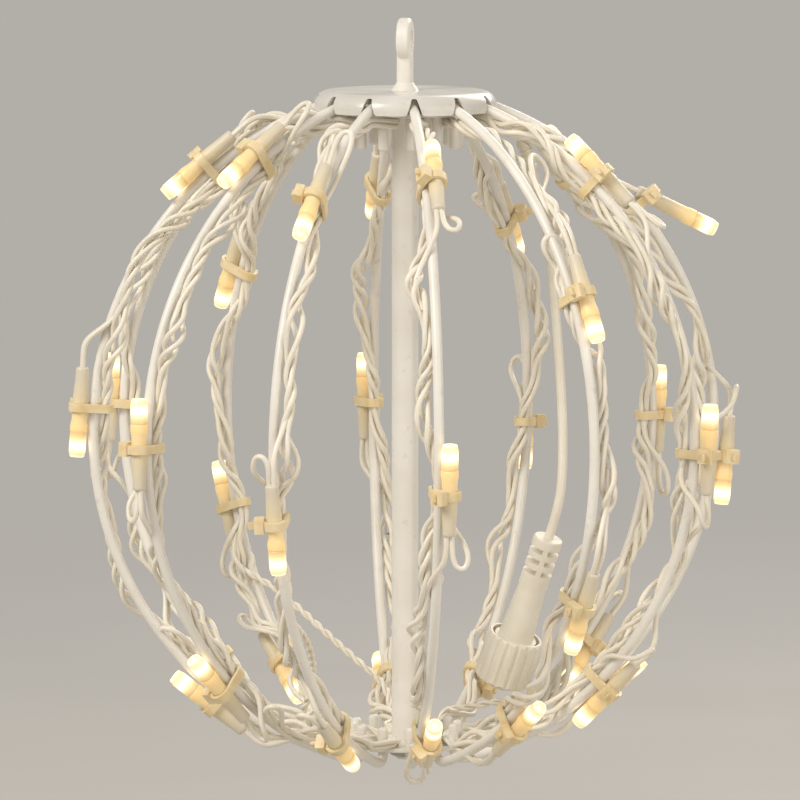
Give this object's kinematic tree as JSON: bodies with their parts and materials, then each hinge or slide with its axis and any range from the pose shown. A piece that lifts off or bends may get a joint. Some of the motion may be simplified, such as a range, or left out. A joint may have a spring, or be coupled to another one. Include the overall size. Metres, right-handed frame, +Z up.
{
  "type": "led light ball",
  "caption": "Hanging ball of coated wire ribs on a folding hub, with a string of lamps tied to the ribs and a lead with a screw plug inside.",
  "frame": {"origin": "middle of the hanging eye's bore", "axes": "+Z up, along the centre post; +X along the eye's bore, and the way that one half of the ribs folds"},
  "size_m": [0.1971, 0.1976, 0.2235],
  "materials": {
    "coated_steel": "satin",
    "coated_cap": "satin",
    "zinc_steel": "satin",
    "string_pvc": "matte",
    "lamp_lens": "gloss",
    "tie_nylon": "satin",
    "plug_pvc": "matte",
    "contact_brass": "satin"
  },
  "bodies": {
    "hanger": {"eye_bolt": "coated_steel", "top_cap": "coated_cap", "cap_nut": "zinc_steel"},
    "core": {"centre_post": "coated_steel", "top_disc": "coated_steel", "bottom_disc": "coated_steel", "bottom_nut": "zinc_steel", "jumper_wires": "string_pvc"},
    "arm_01": {"rib_01": "coated_steel", "light_string_01": "string_pvc", "lamp_lenses_01": "lamp_lens", "cable_ties_01": "tie_nylon"},
    "arm_02": {"rib_02": "coated_steel", "light_string_02": "string_pvc", "lamp_lenses_02": "lamp_lens", "cable_ties_02": "tie_nylon", "lead_cord": "string_pvc", "plug_body": "plug_pvc", "plug_contacts": "contact_brass"},
    "arm_03": {"rib_03": "coated_steel", "light_string_03": "string_pvc", "lamp_lenses_03": "lamp_lens", "cable_ties_03": "tie_nylon"},
    "arm_04": {"rib_04": "coated_steel", "light_string_04": "string_pvc", "lamp_lenses_04": "lamp_lens", "cable_ties_04": "tie_nylon"},
    "arm_05": {"rib_05": "coated_steel", "light_string_05": "string_pvc", "lamp_lenses_05": "lamp_lens", "cable_ties_05": "tie_nylon"},
    "arm_06": {"rib_06": "coated_steel", "light_string_06": "string_pvc", "lamp_lenses_06": "lamp_lens", "cable_ties_06": "tie_nylon"},
    "arm_07": {"rib_07": "coated_steel", "light_string_07": "string_pvc", "lamp_lenses_07": "lamp_lens", "cable_ties_07": "tie_nylon"},
    "arm_08": {"rib_08": "coated_steel", "light_string_08": "string_pvc", "lamp_lenses_08": "lamp_lens", "cable_ties_08": "tie_nylon"},
    "arm_09": {"rib_09": "coated_steel", "light_string_09": "string_pvc", "lamp_lenses_09": "lamp_lens", "cable_ties_09": "tie_nylon"},
    "arm_10": {"rib_10": "coated_steel", "light_string_10": "string_pvc", "lamp_lenses_10": "lamp_lens", "cable_ties_10": "tie_nylon"},
    "arm_11": {"rib_11": "coated_steel", "light_string_11": "string_pvc", "lamp_lenses_11": "lamp_lens", "cable_ties_11": "tie_nylon"},
    "arm_12": {"rib_12": "coated_steel", "light_string_12": "string_pvc", "lamp_lenses_12": "lamp_lens", "cable_ties_12": "tie_nylon"},
    "coupling_nut": {"plug_nut": "plug_pvc"}
  },
  "joints": [
    {"name": "cap_release", "type": "slide", "parent": "hanger", "child": "core", "axis": [0, 0, -1], "range_m": [0, 0.018], "deforming": ["jumper_wires"]},
    {"name": "rib_01_swing", "type": "hinge", "parent": "core", "child": "arm_01", "pos_m": [0.01545, 0.00414, -0.022], "axis": [0, 0, 1], "range_deg": [-10, 0]},
    {"name": "rib_02_swing", "type": "hinge", "parent": "core", "child": "arm_02", "pos_m": [0.01131, 0.01131, -0.022], "axis": [0, 0, 1], "range_deg": [-30, 0]},
    {"name": "rib_03_swing", "type": "hinge", "parent": "core", "child": "arm_03", "pos_m": [0.00414, 0.01545, -0.022], "axis": [0, 0, 1], "range_deg": [-50, 0]},
    {"name": "rib_04_swing", "type": "hinge", "parent": "core", "child": "arm_04", "pos_m": [-0.00414, 0.01545, -0.022], "axis": [0, 0, 1], "range_deg": [0, 50]},
    {"name": "rib_05_swing", "type": "hinge", "parent": "core", "child": "arm_05", "pos_m": [-0.01131, 0.01131, -0.022], "axis": [0, 0, 1], "range_deg": [0, 30]},
    {"name": "rib_06_swing", "type": "hinge", "parent": "core", "child": "arm_06", "pos_m": [-0.01545, 0.00414, -0.022], "axis": [0, 0, 1], "range_deg": [0, 10]},
    {"name": "rib_07_swing", "type": "hinge", "parent": "core", "child": "arm_07", "pos_m": [-0.01545, -0.00414, -0.022], "axis": [0, 0, 1], "range_deg": [-10, 0]},
    {"name": "rib_08_swing", "type": "hinge", "parent": "core", "child": "arm_08", "pos_m": [-0.01131, -0.01131, -0.022], "axis": [0, 0, 1], "range_deg": [-30, 0]},
    {"name": "rib_09_swing", "type": "hinge", "parent": "core", "child": "arm_09", "pos_m": [-0.00414, -0.01545, -0.022], "axis": [0, 0, 1], "range_deg": [-50, 0]},
    {"name": "rib_10_swing", "type": "hinge", "parent": "core", "child": "arm_10", "pos_m": [0.00414, -0.01545, -0.022], "axis": [0, 0, 1], "range_deg": [0, 50]},
    {"name": "rib_11_swing", "type": "hinge", "parent": "core", "child": "arm_11", "pos_m": [0.01131, -0.01131, -0.022], "axis": [0, 0, 1], "range_deg": [0, 30]},
    {"name": "rib_12_swing", "type": "hinge", "parent": "core", "child": "arm_12", "pos_m": [0.01545, -0.00414, -0.022], "axis": [0, 0, 1], "range_deg": [0, 10]},
    {"name": "coupling_nut_turn", "type": "hinge", "parent": "arm_02", "child": "coupling_nut", "pos_m": [0.02771, 0.02603, -0.18953], "axis": [-0.3244, 0.1864, -0.9274], "continuous": true}
  ],
  "couplings": [
    {"joint": "rib_01_swing", "follows": "cap_release", "rad_per_m": -9.696},
    {"joint": "rib_02_swing", "follows": "cap_release", "rad_per_m": -29.088},
    {"joint": "rib_03_swing", "follows": "cap_release", "rad_per_m": -48.48},
    {"joint": "rib_04_swing", "follows": "cap_release", "rad_per_m": 48.48},
    {"joint": "rib_05_swing", "follows": "cap_release", "rad_per_m": 29.088},
    {"joint": "rib_06_swing", "follows": "cap_release", "rad_per_m": 9.696},
    {"joint": "rib_07_swing", "follows": "cap_release", "rad_per_m": -9.696},
    {"joint": "rib_08_swing", "follows": "cap_release", "rad_per_m": -29.088},
    {"joint": "rib_09_swing", "follows": "cap_release", "rad_per_m": -48.48},
    {"joint": "rib_10_swing", "follows": "cap_release", "rad_per_m": 48.48},
    {"joint": "rib_11_swing", "follows": "cap_release", "rad_per_m": 29.088},
    {"joint": "rib_12_swing", "follows": "cap_release", "rad_per_m": 9.696}
  ]
}
